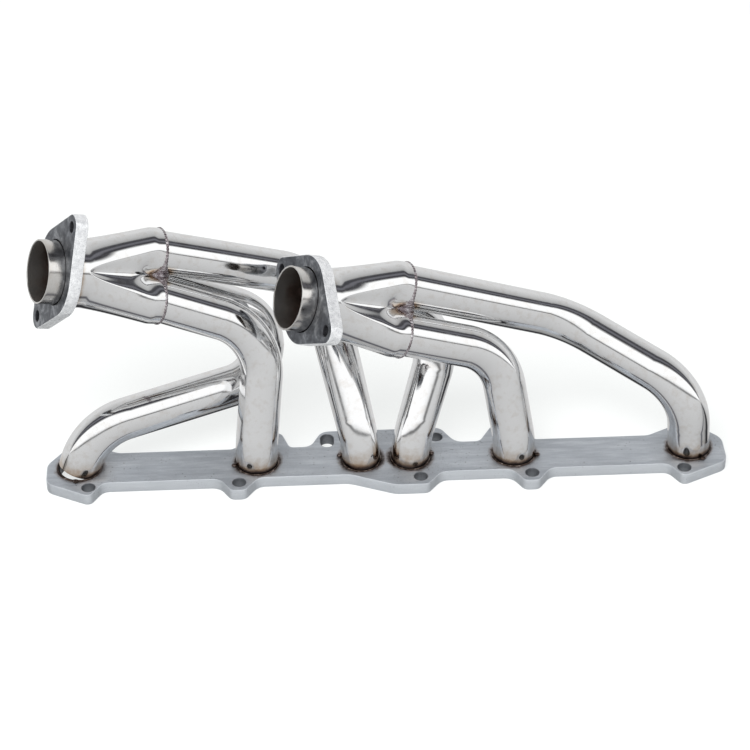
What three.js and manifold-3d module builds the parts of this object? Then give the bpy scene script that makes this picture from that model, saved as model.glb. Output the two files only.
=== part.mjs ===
// Six-into-two tubular exhaust header for an inline six, lying on its head flange.
//
// Frame: millimetres, +Z up. The origin is the middle of the head flange's mating face, on the line of
// the six ports. +X runs from port 1 to port 6 and +Z points away from the cylinder head.
// Tubes 1 to 3 meet in the first collector and tubes 4 to 6 in the second one. Each collector ends in a
// two-bolt flange with a slip stub through it. Everything is welded, so nothing moves.

import * as THREE from "three";
import { mergeVertices } from "three/addons/utils/BufferGeometryUtils.js";
import Module from "manifold-3d";

const wasm = await Module();
wasm.setup();

// ---------------------------------------------------------------- driving dimensions

const GAP = 0.3; // between pieces that are welded face to face

// Ports, mirrored about the middle of the head
const INNER_PORT_X = 25;
const MIDDLE_PORT_X = 131;
const OUTER_PORT_X = 311;

// Primary tubes
const TUBE_OD = 42.9; // 1 11/16 in
const TUBE_WALL = 1.6;
const PINCH = 0.91; // sideways squeeze of the two inner tubes at their ports
const PINCH_HEIGHT = 105; // height above the flange where they are round again

// Head flange
const FLANGE_THICKNESS = 12.7;
const STRIP_FRONT = 26;
const STRIP_BACK = 21.5;
const FRONT_REACH = 45; // from the port line to the tips of the front ears
const BACK_REACH = 45.7;
const END_LAND_1 = 33; // from port 1 to its end of the flange
const END_LAND_6 = 36.5; // from port 6 to its end
const BOLT_HOLE = 13.5;
const SLOT_LENGTH = 20.5;
const FRONT_BOLTS_Y = -32.5;
const BACK_BOLTS_Y = 30;
const HIDDEN_BOLTS_Y = 34; // the two back holes behind tubes 2 and 5

// Collectors
const COLLECTOR_WALL = 2;
const LOBE_SEAM = 0.55; // half of the seam between two lobes, outside the sheet
const COLLECTOR_LENGTH = 90;
const LOBED_LENGTH = 8; // length over which the mouth keeps its three lobes
const NECK_LENGTH = 12; // round length at the outlet end
const VALLEY_BLEND = 5.5; // rounds the valleys between the lobes
const OUTLET_OD = 63.5; // 2 1/2 in
const OUTLET_WALL = 1.8;
const STUB_PROUD = 17; // how far the slip stub stands out of its flange
const OUTLET_FLANGE_THICKNESS = 12.7;
const OUTLET_BOLT_CIRCLE = 61; // radius to each bolt hole
const OUTLET_BODY_RADIUS = 44.5;
const OUTLET_EAR_RADIUS = 12.7;
const OUTLET_BOLT_HOLE = 11;

// Welds
const FILLET = 3;

// ---------------------------------------------------------------- dependent sizes

const TUBE_RADIUS = TUBE_OD / 2;
const TUBE_BORE = TUBE_RADIUS - TUBE_WALL;
const HALF_PITCH = TUBE_RADIUS + COLLECTOR_WALL + LOBE_SEAM;
const LOBE_DISTANCE = (2 * HALF_PITCH) / Math.sqrt(3);
const LOBE_RADIUS = HALF_PITCH - 0.7;
const ROUND_SIDES = 36; // flats round an outlet's stub, neck and weld
const STUB_HOLE = (OUTLET_OD / 2 + GAP) / Math.cos(Math.PI / 24); // 24 flats that clear the stub
const NECK_BORE = (OUTLET_OD / 2 + GAP) / Math.cos(Math.PI / ROUND_SIDES);
const NECK_RADIUS = NECK_BORE + COLLECTOR_WALL;
const FLAT_HALF_ANGLE = Math.atan(HALF_PITCH / (LOBE_DISTANCE / 2 + LOBE_RADIUS));
const DISH_DEPTH = 0.5; // a valley's depth once it is a dish, as a share of its depth at the mouth
const STUB_LAP = NECK_LENGTH - 1.5; // how far the stub reaches into the collector's neck
const PORT_X = [-OUTER_PORT_X, -MIDDLE_PORT_X, -INNER_PORT_X, INNER_PORT_X, MIDDLE_PORT_X, OUTER_PORT_X];
const OUTLET_FACE = COLLECTOR_LENGTH + GAP + OUTLET_FLANGE_THICKNESS;

const degrees = THREE.MathUtils.degToRad;
const vec = (x, y, z) => new THREE.Vector3(x, y, z);

// A point given from the middle of port 1 to 6 on the flange's outer face
const fromPort = (port, x, y, z) => vec(PORT_X[port - 1] + x, y, FLANGE_THICKNESS + z);

// Each collector: its mouth's centre, which way its outlet points, and which ports it serves
const COLLECTORS = [
  {
    name: "collector_1",
    mouth: fromPort(2, -99, 75, 181),
    heading: 19,
    climb: 17.5,
    earAngle: -47,
    ports: [3, 2, 1],
  },
  {
    name: "collector_2",
    mouth: fromPort(4, -14, 38, 157),
    heading: 17.5,
    climb: 21,
    earAngle: 59,
    ports: [6, 5, 4],
  },
];
const ROLL = 34.5; // turns the first two lobes so that they lie one above the other, seen from the front

// Corners of each tube's centreline, with the bend radius at each corner. The last corner is followed by
// the straight run into the collector. Tubes that pass each other take their distance from the tube size.
const ROUTES = {
  1: [
    [fromPort(1, 9, 4, 46), 56],
    [fromPort(2, 9, 33 + TUBE_OD, 51), 42],
    [fromPort(2, 11, 56 + TUBE_OD, 109), 42],
  ],
  2: [
    [fromPort(2, 0, 0, 18), 60],
    [fromPort(2, 12, 49, 128), 60],
  ],
  3: [
    [fromPort(3, 0, 0, 16), 60],
    [fromPort(3, -37, 114, 146), 60],
  ],
  4: [
    [fromPort(4, 0, 0, 16), 60],
    [fromPort(4, 41, 35 + TUBE_OD, 111), 45],
  ],
  5: [
    [fromPort(5, 0, 0, 18), 60],
    [fromPort(5, -16, 27, 109), 57],
  ],
  6: [
    [fromPort(6, -5, 1, 73), 57],
    [fromPort(6, -122, 78, 111), 80],
  ],
};

// Where the round scar of the weld's start sits round each tube's foot, in degrees
const WELD_START = { 1: -97, 2: 197, 3: 172, 4: 5, 5: -14, 6: -62 };

// ---------------------------------------------------------------- materials

const finish = (name, color, roughness) =>
  new THREE.MeshStandardMaterial({ name, color, roughness, metalness: 1 });
const POLISHED = finish("polished_stainless", 0xd8dadb, 0.12);
const BRUSHED = finish("brushed_stainless", 0xb9babb, 0.35);
const BLASTED = finish("blasted_steel", 0xa9aeb5, 0.6);
const PLATE = finish("machined_flange", 0x8b8f94, 0.5);
const WELD = finish("weld_metal", 0x6d6866, 0.45);
const SILVER_WELD = finish("collector_weld", 0xa5a5a8, 0.3);

// ---------------------------------------------------------------- solids and booleans

// A closed three.js geometry as a solid that can be joined and cut
function solid(geometry) {
  const bare = new THREE.BufferGeometry();
  bare.setAttribute("position", geometry.getAttribute("position").clone());
  if (geometry.index) bare.setIndex(geometry.index.clone());
  const merged = mergeVertices(bare, 1e-4);
  return new wasm.Manifold(
    new wasm.Mesh({
      numProp: 3,
      vertProperties: merged.attributes.position.array,
      triVerts: new Uint32Array(merged.index.array),
    }),
  );
}

function geometryOf(body) {
  const mesh = body.getMesh();
  const geometry = new THREE.BufferGeometry();
  geometry.setAttribute("position", new THREE.BufferAttribute(mesh.vertProperties, 3));
  geometry.setIndex(new THREE.BufferAttribute(mesh.triVerts, 1));
  geometry.computeVertexNormals();
  return geometry;
}

// A block on the far side of a plane through a point, square to the plane, to cut with
function blockBeyond(point, normal, size) {
  const turn = new THREE.Quaternion().setFromUnitVectors(vec(0, 0, 1), normal.clone().normalize());
  const block = new THREE.BoxGeometry(size, size, size).translate(0, 0, size / 2);
  return solid(block.applyQuaternion(turn).translate(point.x, point.y, point.z));
}

// ---------------------------------------------------------------- outlines

// A closed outline through corners [x, y, radius], each corner rounded by a curve that leaves the edges
// where an arc of its radius would
function roundedOutline(corners) {
  const shape = new THREE.Shape();
  corners.forEach(([x, y, radius], i) => {
    const [px, py] = corners[(i + corners.length - 1) % corners.length];
    const [nx, ny] = corners[(i + 1) % corners.length];
    const before = new THREE.Vector2(px - x, py - y).normalize();
    const after = new THREE.Vector2(nx - x, ny - y).normalize();
    const half = Math.acos(THREE.MathUtils.clamp(before.dot(after), -1, 1)) / 2;
    const run = radius / Math.tan(half);
    const start = before.multiplyScalar(run);
    const end = after.multiplyScalar(run);
    if (i === 0) shape.moveTo(x + start.x, y + start.y);
    else shape.lineTo(x + start.x, y + start.y);
    shape.quadraticCurveTo(x, y, x + end.x, y + end.y);
  });
  shape.closePath();
  return shape;
}

function circle(x, y, radius) {
  return new THREE.Path().absarc(x, y, radius, 0, 2 * Math.PI);
}

// A round-ended slot along Y
function slot(x, y, width, length) {
  const path = new THREE.Path();
  const reach = (length - width) / 2;
  path.absarc(x, y + reach, width / 2, 0, Math.PI);
  path.absarc(x, y - reach, width / 2, Math.PI, 2 * Math.PI);
  path.closePath();
  return path;
}

// ---------------------------------------------------------------- tube centrelines

// A line through corners, each rounded by its bend radius. Its stations lie at the ends of the straight
// runs and at equal angles round the bends, so an extrusion along it is fine only where it turns.
class BentLine extends THREE.Curve {
  constructor(start, corners, end, bendStep = degrees(17)) {
    super();
    this.points = [start.clone()];
    this.tangents = [corners[0][0].clone().sub(start).normalize()];
    corners.forEach(([corner, radius], i) => {
      const next = i + 1 < corners.length ? corners[i + 1][0] : end;
      const previous = i > 0 ? corners[i - 1][0] : start;
      const arriving = corner.clone().sub(previous).normalize();
      const leaving = next.clone().sub(corner).normalize();
      const turn = arriving.angleTo(leaving);
      const axis = arriving.clone().cross(leaving).normalize();
      const bendStart = corner.clone().addScaledVector(arriving, -radius * Math.tan(turn / 2));
      const spoke = axis.clone().cross(arriving).multiplyScalar(-radius);
      const centre = bendStart.clone().sub(spoke);
      const steps = Math.max(1, Math.ceil(turn / bendStep));
      for (let k = 0; k <= steps; k++) {
        const angle = (turn * k) / steps;
        this.points.push(centre.clone().add(spoke.clone().applyAxisAngle(axis, angle)));
        this.tangents.push(arriving.clone().applyAxisAngle(axis, angle));
      }
    });
    this.points.push(end.clone());
    this.tangents.push(this.tangents.at(-1).clone());
  }

  get steps() {
    return this.points.length - 1;
  }

  along(list, u) {
    const place = THREE.MathUtils.clamp(u, 0, 1) * this.steps;
    const i = Math.min(Math.floor(place), this.steps - 1);
    return list[i].clone().lerp(list[i + 1], place - i);
  }

  getPoint(u) {
    return this.along(this.points, u);
  }

  getPointAt(u) {
    return this.along(this.points, u);
  }

  getTangentAt(u) {
    return this.along(this.tangents, u).normalize();
  }
}

// ---------------------------------------------------------------- collector frames

// A matrix whose Z points out of the collector's outlet and whose origin is the mouth's centre
function collectorFrame({ mouth, heading, climb }) {
  const out = vec(
    -Math.cos(degrees(climb)) * Math.cos(degrees(heading)),
    -Math.cos(degrees(climb)) * Math.sin(degrees(heading)),
    Math.sin(degrees(climb)),
  );
  const upright = vec(0, 0, 1).addScaledVector(out, -out.z).normalize();
  const up = upright.applyAxisAngle(out, degrees(ROLL));
  const away = out.clone().cross(up);
  return new THREE.Matrix4().makeBasis(up, away, out).setPosition(mouth);
}

// The middle of lobe 0, 1 or 2 in the collector's own frame, at height z
function lobeCentre(lobe, z) {
  const angle = degrees([-30, -150, 90][lobe]);
  return vec(LOBE_DISTANCE * Math.cos(angle), LOBE_DISTANCE * Math.sin(angle), z);
}

// ---------------------------------------------------------------- head flange

// A front ear round a bolt hole at x, from the strip's edge out to the front reach and back
const frontEar = (x) => [
  [x - 20, -STRIP_FRONT, 15],
  [x - 8.5, -FRONT_REACH, 9],
  [x + 6, -FRONT_REACH, 9],
  [x + 19.5, -STRIP_FRONT, 15],
];

// A back ear behind a middle port, from the right-hand side to the left
const backEar = (right, left) => [
  [right, STRIP_BACK, 6],
  [right - 8, BACK_REACH, 9],
  [left + 14, BACK_REACH, 9],
  [left, STRIP_BACK, 9],
];

// The rounded end round an outer port, from the strip's front edge to its back edge. side is 1 or -1,
// land reaches to the flange's end, and shoulder is where that end turns in towards the back.
function endLobe(side, land, shoulder) {
  const corners = [
    [-24.5, -STRIP_FRONT, 12],
    [-11.4, -FRONT_REACH - 1.7, 8],
    [land, -23.6, 14],
    [land, shoulder, 18],
    [5, BACK_REACH - 1.7, 20],
    [-39, STRIP_BACK, 18],
  ];
  const placed = corners.map(([x, y, radius]) => [side * (OUTER_PORT_X + x), y, radius]);
  return side > 0 ? placed : placed.reverse();
}

const FRONT_BOLTS_X = [-(OUTER_PORT_X - 10), -(MIDDLE_PORT_X + 18.5), INNER_PORT_X + 9];
FRONT_BOLTS_X.push(MIDDLE_PORT_X + 16, OUTER_PORT_X - 9);

function headFlange() {
  const [, secondBolt, middleBolt, fourthBolt] = FRONT_BOLTS_X;
  const outline = roundedOutline([
    ...frontEar(secondBolt),
    [middleBolt - 72, -STRIP_FRONT, 30],
    [middleBolt - 26, -FRONT_REACH, 30],
    [middleBolt + 7, -FRONT_REACH, 9],
    [middleBolt + 22, -STRIP_FRONT, 15],
    ...frontEar(fourthBolt),
    ...endLobe(1, END_LAND_6, 13),
    ...backEar(MIDDLE_PORT_X + 23, MIDDLE_PORT_X - 33),
    [INNER_PORT_X + 48, STRIP_BACK, 16],
    [INNER_PORT_X + 34, BACK_REACH, 12],
    [-(INNER_PORT_X + 39), BACK_REACH, 14],
    [-(INNER_PORT_X + 51), STRIP_BACK, 13],
    ...backEar(-(MIDDLE_PORT_X - 34), -(MIDDLE_PORT_X + 23)),
    ...endLobe(-1, END_LAND_1, 6),
  ]);
  outline.holes.push(...FRONT_BOLTS_X.map((x) => circle(x, FRONT_BOLTS_Y, BOLT_HOLE / 2)));
  outline.holes.push(slot(-(INNER_PORT_X + 33.5), BACK_BOLTS_Y, BOLT_HOLE, SLOT_LENGTH));
  outline.holes.push(circle(INNER_PORT_X + 28.5, BACK_BOLTS_Y, BOLT_HOLE / 2));
  for (const x of [-MIDDLE_PORT_X, MIDDLE_PORT_X]) {
    outline.holes.push(circle(x, HIDDEN_BOLTS_Y, BOLT_HOLE / 2));
  }
  for (const x of PORT_X) outline.holes.push(circle(x, 0, TUBE_BORE));
  return new THREE.ExtrudeGeometry(outline, {
    depth: FLANGE_THICKNESS,
    bevelEnabled: false,
    curveSegments: 6,
  });
}

// ---------------------------------------------------------------- primary tubes

const isInner = (port) => port === 3 || port === 4;

// How much the tube is squeezed sideways at a height above the flange: PINCH at the foot, 1 at the top
function pinchAt(height) {
  return PINCH + (1 - PINCH) * THREE.MathUtils.smoothstep(height, 0, PINCH_HEIGHT);
}

// Moves each point of an inner tube's leg towards the plane x = centreline
function pinchLeg(geometry, line) {
  const position = geometry.getAttribute("position");
  for (let i = 0; i < position.count; i++) {
    const height = position.getZ(i) - FLANGE_THICKNESS;
    if (height > PINCH_HEIGHT) continue;
    const upper = line.points.findIndex((p) => p.z > position.getZ(i));
    const [low, high] = [line.points[Math.max(upper - 1, 0)], line.points[Math.max(upper, 1)]];
    const share = (position.getZ(i) - low.z) / (high.z - low.z);
    const middle = THREE.MathUtils.lerp(low.x, high.x, share);
    position.setX(i, middle + (position.getX(i) - middle) * pinchAt(height));
  }
  return geometry;
}

// The centreline of a port's tube. It starts below the flange's face and runs on past the mouth.
function tubeLine(port, collector, frame) {
  const overrun = 20;
  const corners = ROUTES[port];
  const lobe = collector.ports.indexOf(port);
  const socket = lobeCentre(lobe, 0).applyMatrix4(frame);
  const foot = fromPort(port, 0, 0, -overrun / 2);
  const last = corners.at(-1)[0];
  const end = socket.clone().addScaledVector(socket.clone().sub(last).normalize(), overrun);
  return new BentLine(foot, corners, end);
}

// A tube along a line: a ring when a bore is given, and a bar when it isn't
function sweep(line, radius, bore = 0) {
  const section = new THREE.Shape().absarc(0, 0, radius, 0, 2 * Math.PI);
  if (bore > 0) section.holes.push(circle(0, 0, bore));
  return new THREE.ExtrudeGeometry(section, {
    steps: line.steps,
    extrudePath: line,
    bevelEnabled: false,
    curveSegments: 8,
  });
}

// ---------------------------------------------------------------- port welds

// A fillet round the tube's foot with the round scar where the weld began and ended
function portWeld(port, tubeBar) {
  const squeeze = isInner(port) ? PINCH : 1;
  const reach = TUBE_RADIUS + GAP + FILLET;
  const profile = [
    new THREE.Vector2(0, 0),
    new THREE.Vector2(reach, 0),
    new THREE.Vector2(reach - 1.2, FILLET * 0.45),
    new THREE.Vector2(TUBE_RADIUS + GAP + 0.9, FILLET),
    new THREE.Vector2(0, FILLET),
  ];
  const ring = new THREE.LatheGeometry(profile, 18).rotateX(Math.PI / 2);
  ring.scale(squeeze, 1, 1).translate(PORT_X[port - 1], 0, FLANGE_THICKNESS + GAP);
  const scarRadius = FILLET * 1.05;
  const angle = degrees(WELD_START[port]);
  const scarReach = TUBE_RADIUS + FILLET * 0.9;
  const scar = new THREE.SphereGeometry(scarRadius, 8, 6).translate(
    PORT_X[port - 1] + scarReach * squeeze * Math.cos(angle),
    scarReach * Math.sin(angle),
    FLANGE_THICKNESS + GAP + scarRadius * 0.45,
  );
  const foot = vec(PORT_X[port - 1], 0, FLANGE_THICKNESS + GAP);
  const underside = blockBeyond(foot, vec(0, 0, -1), 3 * TUBE_OD);
  return geometryOf(solid(ring).add(solid(scar)).subtract(underside).subtract(tubeBar));
}

// ---------------------------------------------------------------- collectors

// Angle from the middle of the nearest valley between two lobes
const VALLEY_ANGLE = degrees(30);
function fromValley(angle) {
  const third = degrees(120);
  const turned = angle - VALLEY_ANGLE;
  return turned - third * Math.round(turned / third);
}

// Radius of the three-lobed mouth at an angle: a circle round each tube, its valleys blended
function lobedRadius(angle) {
  const third = degrees(120);
  const turned = angle - degrees(90);
  const offset = turned - third * Math.round(turned / third);
  const across = LOBE_DISTANCE * Math.sin(offset);
  const chord = Math.max(LOBE_RADIUS ** 2 - across ** 2, 0);
  return LOBE_DISTANCE * Math.cos(offset) + Math.sqrt(chord + VALLEY_BLEND ** 2);
}

// The ring between the mouth's outline grown by outside and the same outline shrunk by inside
function lobedRing(outside, inside) {
  const count = 36;
  const points = (growth) =>
    Array.from({ length: count }, (_, i) => {
      const angle = (2 * Math.PI * i) / count;
      const radius = lobedRadius(angle) + growth;
      return new THREE.Vector2(radius * Math.cos(angle), radius * Math.sin(angle));
    });
  const ring = new THREE.Shape(points(outside));
  ring.holes.push(new THREE.Path(points(-inside)));
  return ring;
}

// Radius of the flat-sided outline that just holds the three lobes
function heldRadius(angle) {
  const away = fromValley(angle);
  if (Math.abs(away) > FLAT_HALF_ANGLE) return lobedRadius(angle);
  const flat = LOBE_DISTANCE / 2 + Math.hypot(LOBE_RADIUS, VALLEY_BLEND);
  return Math.max(lobedRadius(angle), flat / Math.cos(away));
}

// How far the shell is pressed in at an angle from a valley's middle. The valley narrows and rises
// towards the neck, and turns from the gap between two tubes into a smooth dish.
function pressedIn(away, z, length) {
  if (z >= length) return 0;
  const narrowing = (1 - (z / length) ** 1.5) ** 0.6;
  const spread = away / narrowing;
  if (Math.abs(spread) > FLAT_HALF_ANGLE) return 0;
  const depth = (angle) => heldRadius(VALLEY_ANGLE + angle) - lobedRadius(VALLEY_ANGLE + angle);
  const deepest = depth(0) * THREE.MathUtils.lerp(1, DISH_DEPTH, THREE.MathUtils.smoothstep(z, 0, 34));
  const dish = deepest * (1 - (spread / FLAT_HALF_ANGLE) ** 2) ** 1.4;
  const pressed = THREE.MathUtils.lerp(depth(spread), dish, THREE.MathUtils.smoothstep(z, 0, 18));
  return pressed * narrowing;
}

// The formed shell: three lobes at the mouth that turn into the round neck. Its sections stand at the
// ends of the lobed and the round lengths, and at even steps between them.
function collectorShell() {
  const neckStart = COLLECTOR_LENGTH - NECK_LENGTH;
  const formed = neckStart - LOBED_LENGTH;
  const between = 8;
  const heights = [0];
  for (let k = 0; k <= between; k++) heights.push(LOBED_LENGTH + (formed * k) / between);
  heights.push(COLLECTOR_LENGTH);
  const steps = heights.length - 1;
  const geometry = new THREE.ExtrudeGeometry(lobedRing(0, COLLECTOR_WALL), {
    depth: steps,
    steps,
    bevelEnabled: false,
  });
  const position = geometry.getAttribute("position");
  for (let i = 0; i < position.count; i++) {
    const [x, y] = [position.getX(i), position.getY(i)];
    const z = heights[Math.round(position.getZ(i))];
    const share = THREE.MathUtils.clamp((z - LOBED_LENGTH) / formed, 0, 1);
    const angle = Math.atan2(y, x);
    const onBore = Math.hypot(x, y) < lobedRadius(angle) - COLLECTOR_WALL / 2;
    const held = THREE.MathUtils.lerp(heldRadius(angle), NECK_RADIUS, share);
    const outer = held - pressedIn(fromValley(angle), z, neckStart);
    const radius = outer - (onBore ? COLLECTOR_WALL : 0);
    position.setXYZ(i, radius * Math.cos(angle), radius * Math.sin(angle), z);
  }
  return geometry;
}

// The bead round the mouth, in the corner between the shell's end and the three tubes
function collectorWeld(frame, bars) {
  const depth = FILLET * 0.85;
  const bead = new THREE.ExtrudeGeometry(lobedRing(0.7, COLLECTOR_WALL + 1.2), {
    depth,
    bevelEnabled: false,
  });
  let body = solid(bead.translate(0, 0, -GAP - depth).applyMatrix4(frame));
  for (const bar of bars) body = body.subtract(bar);
  return geometryOf(body);
}

// The star-shaped piece that closes the middle between the three tubes
function mergePlug(frame, bars) {
  const depth = FILLET * 0.85;
  const radius = lobedRadius(degrees(30)) - COLLECTOR_WALL - 1.2 - GAP - 0.5;
  const disc = new THREE.CylinderGeometry(radius, radius, depth, 24).rotateX(Math.PI / 2);
  let body = solid(disc.translate(0, 0, -GAP - depth / 2).applyMatrix4(frame));
  for (const bar of bars) body = body.subtract(bar);
  return geometryOf(body);
}

// ---------------------------------------------------------------- outlets

// The slip stub, through the flange and into the neck
function outletStub() {
  const start = COLLECTOR_LENGTH - STUB_LAP;
  const end = OUTLET_FACE + STUB_PROUD;
  const [outer, bore] = [OUTLET_OD / 2, OUTLET_OD / 2 - OUTLET_WALL];
  const profile = [
    new THREE.Vector2(bore, start),
    new THREE.Vector2(outer, start),
    new THREE.Vector2(outer, end),
    new THREE.Vector2(bore, end),
    new THREE.Vector2(bore, start),
  ];
  return new THREE.LatheGeometry(profile, ROUND_SIDES).rotateX(Math.PI / 2);
}

// Two ears joined to a round body by their common tangents
function outletFlange() {
  const tangent = Math.acos((OUTLET_BODY_RADIUS - OUTLET_EAR_RADIUS) / OUTLET_BOLT_CIRCLE);
  const outline = new THREE.Shape();
  outline.absarc(OUTLET_BOLT_CIRCLE, 0, OUTLET_EAR_RADIUS, -tangent, tangent);
  outline.absarc(0, 0, OUTLET_BODY_RADIUS, tangent, Math.PI - tangent);
  outline.absarc(-OUTLET_BOLT_CIRCLE, 0, OUTLET_EAR_RADIUS, Math.PI - tangent, Math.PI + tangent);
  outline.absarc(0, 0, OUTLET_BODY_RADIUS, Math.PI + tangent, 2 * Math.PI - tangent);
  outline.closePath();
  outline.holes.push(circle(0, 0, STUB_HOLE));
  outline.holes.push(circle(OUTLET_BOLT_CIRCLE, 0, OUTLET_BOLT_HOLE / 2));
  outline.holes.push(circle(-OUTLET_BOLT_CIRCLE, 0, OUTLET_BOLT_HOLE / 2));
  const plate = new THREE.ExtrudeGeometry(outline, {
    depth: OUTLET_FLANGE_THICKNESS,
    bevelEnabled: false,
    curveSegments: 12,
  });
  return plate.translate(0, 0, COLLECTOR_LENGTH + GAP);
}

// The fillet between the neck and the back of the outlet flange
function outletWeld() {
  const inner = NECK_RADIUS + GAP;
  const profile = [
    new THREE.Vector2(inner, COLLECTOR_LENGTH - FILLET),
    new THREE.Vector2(inner + FILLET, COLLECTOR_LENGTH),
    new THREE.Vector2(inner, COLLECTOR_LENGTH),
    new THREE.Vector2(inner, COLLECTOR_LENGTH - FILLET),
  ];
  return new THREE.LatheGeometry(profile, ROUND_SIDES).rotateX(Math.PI / 2);
}

// ---------------------------------------------------------------- assembly

const header = new THREE.Group();

function addPart(parent, name, geometry, material) {
  const mesh = new THREE.Mesh(geometry, material);
  mesh.name = name;
  parent.add(mesh);
  return mesh;
}

addPart(header, "head_flange", headFlange(), BLASTED);

for (const collector of COLLECTORS) {
  const frame = collectorFrame(collector);
  const mouthAxis = vec(0, 0, 1).transformDirection(frame);
  const mouthFace = vec(0, 0, -GAP).applyMatrix4(frame);
  const pastMouth = blockBeyond(mouthFace, mouthAxis, 3 * TUBE_OD);
  const bars = [];
  for (const port of collector.ports) {
    const line = tubeLine(port, collector, frame);
    const shape = (geometry) => (isInner(port) ? pinchLeg(geometry, line) : geometry);
    const tube = solid(shape(sweep(line, TUBE_RADIUS, TUBE_BORE)));
    const bar = solid(shape(sweep(line, TUBE_RADIUS + GAP)));
    bars.push(bar);
    const inFlange = blockBeyond(fromPort(port, 0, 0, GAP), vec(0, 0, -1), 3 * TUBE_OD);
    const trimmed = tube.subtract(pastMouth).subtract(inFlange);
    addPart(header, `primary_tube_${port}`, geometryOf(trimmed), POLISHED);
    addPart(header, `port_weld_${port}`, portWeld(port, bar), WELD);
  }
  const { name } = collector;
  addPart(header, `${name}_weld`, collectorWeld(frame, bars), SILVER_WELD);
  addPart(header, `${name}_merge_plug`, mergePlug(frame, bars), SILVER_WELD);

  const outlet = new THREE.Group();
  outlet.applyMatrix4(frame);
  header.add(outlet);
  addPart(outlet, name, collectorShell(), POLISHED);
  addPart(outlet, `${name}_outlet_stub`, outletStub(), BRUSHED);
  addPart(outlet, `${name}_outlet_weld`, outletWeld(), WELD);
  const flange = addPart(outlet, `${name}_outlet_flange`, outletFlange(), PLATE);
  flange.rotation.z = degrees(collector.earAngle);
}

export default header;
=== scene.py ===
"""Tubular exhaust manifold: mirror-polished tubes and collectors on a blasted head flange.

Everything is in metres in the CAD model's frame: X runs along the head flange, Z out of the cylinder
head. The CAD solids are replaced piece by piece by smooth surfaces worked out here from the same routes
and sizes, and each piece gets a procedural steel finish with its welds' heat tint.
"""

import math

import bpy
import numpy as np
from mathutils.geometry import tessellate_polygon
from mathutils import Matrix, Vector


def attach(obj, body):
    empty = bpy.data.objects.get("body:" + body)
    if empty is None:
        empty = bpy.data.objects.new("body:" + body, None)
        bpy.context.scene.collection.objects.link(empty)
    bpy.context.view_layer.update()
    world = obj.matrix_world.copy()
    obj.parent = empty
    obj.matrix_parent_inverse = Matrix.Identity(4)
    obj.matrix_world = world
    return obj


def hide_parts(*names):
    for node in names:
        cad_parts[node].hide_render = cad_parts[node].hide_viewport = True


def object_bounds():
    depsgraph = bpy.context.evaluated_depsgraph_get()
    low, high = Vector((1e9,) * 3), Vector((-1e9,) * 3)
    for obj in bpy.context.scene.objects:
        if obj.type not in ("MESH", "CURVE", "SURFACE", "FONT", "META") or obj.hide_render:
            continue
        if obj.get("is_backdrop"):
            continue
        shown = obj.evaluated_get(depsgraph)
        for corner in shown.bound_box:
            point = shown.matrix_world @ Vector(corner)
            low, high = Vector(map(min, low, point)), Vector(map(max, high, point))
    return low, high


MM = 0.001
TAU = 2 * math.pi

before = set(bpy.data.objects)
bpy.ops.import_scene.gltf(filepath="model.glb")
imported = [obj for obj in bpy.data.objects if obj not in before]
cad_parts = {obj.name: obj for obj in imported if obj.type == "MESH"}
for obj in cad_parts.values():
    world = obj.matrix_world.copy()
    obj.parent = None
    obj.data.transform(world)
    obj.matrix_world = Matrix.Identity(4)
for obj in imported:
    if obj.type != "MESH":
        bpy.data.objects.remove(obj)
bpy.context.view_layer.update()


# ---------------------------------------------------------------- sizes, in millimetres

GAP = 0.3
PORT_X = (-311, -131, -25, 25, 131, 311)
TUBE_RADIUS = 21.45
TUBE_WALL = 1.6
PINCH = 0.91
PINCH_HEIGHT = 105
FLANGE_THICKNESS = 12.7
STRIP_FRONT = 26
STRIP_BACK = 21.5
FRONT_REACH = 45
BACK_REACH = 45.7
END_LAND_1 = 33
END_LAND_6 = 36.5
BOLT_HOLE = 13.5
SLOT_LENGTH = 20.5
FRONT_BOLTS_Y = -32.5
BACK_BOLTS_Y = 30
HIDDEN_BOLTS_Y = 34
COLLECTOR_WALL = 2
LOBE_SEAM = 0.55
HALF_PITCH = TUBE_RADIUS + COLLECTOR_WALL + LOBE_SEAM
LOBE_DISTANCE = 2 * HALF_PITCH / math.sqrt(3)
LOBE_RADIUS = HALF_PITCH - 0.7
VALLEY_BLEND = 5.5
DISH_DEPTH = 0.5
COLLECTOR_LENGTH = 90
LOBED_LENGTH = 8
NECK_LENGTH = 12
OUTLET_RADIUS = 31.75
OUTLET_WALL = 1.8
STUB_PROUD = 17
STUB_LAP = NECK_LENGTH - 1.5
STUB_RING = 0.8  # the dark ring between an outlet stub and its flange
OUTLET_FLANGE_THICKNESS = 12.7
OUTLET_BOLT_REACH = 61
OUTLET_BODY_RADIUS = 44.5
OUTLET_EAR_RADIUS = 12.7
OUTLET_BOLT_HOLE = 11
OUTLET_FACE = COLLECTOR_LENGTH + GAP + OUTLET_FLANGE_THICKNESS
STUB_END = OUTLET_FACE + STUB_PROUD
NECK_BORE = OUTLET_RADIUS + GAP
NECK_RADIUS = NECK_BORE + COLLECTOR_WALL

COLLECTORS = (
    dict(name="collector_1", mouth=(-230, 75, 193.7), heading=19, climb=17.5, ears=-47, ports=(3, 2, 1)),
    dict(name="collector_2", mouth=(11, 38, 169.7), heading=17.5, climb=21, ears=59, ports=(6, 5, 4)),
)
ROLL = 34.5
THIRD = TAU / 3
VALLEY_ANGLE = math.radians(30)
FLAT_HALF_ANGLE = math.atan(HALF_PITCH / (LOBE_DISTANCE / 2 + LOBE_RADIUS))

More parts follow.
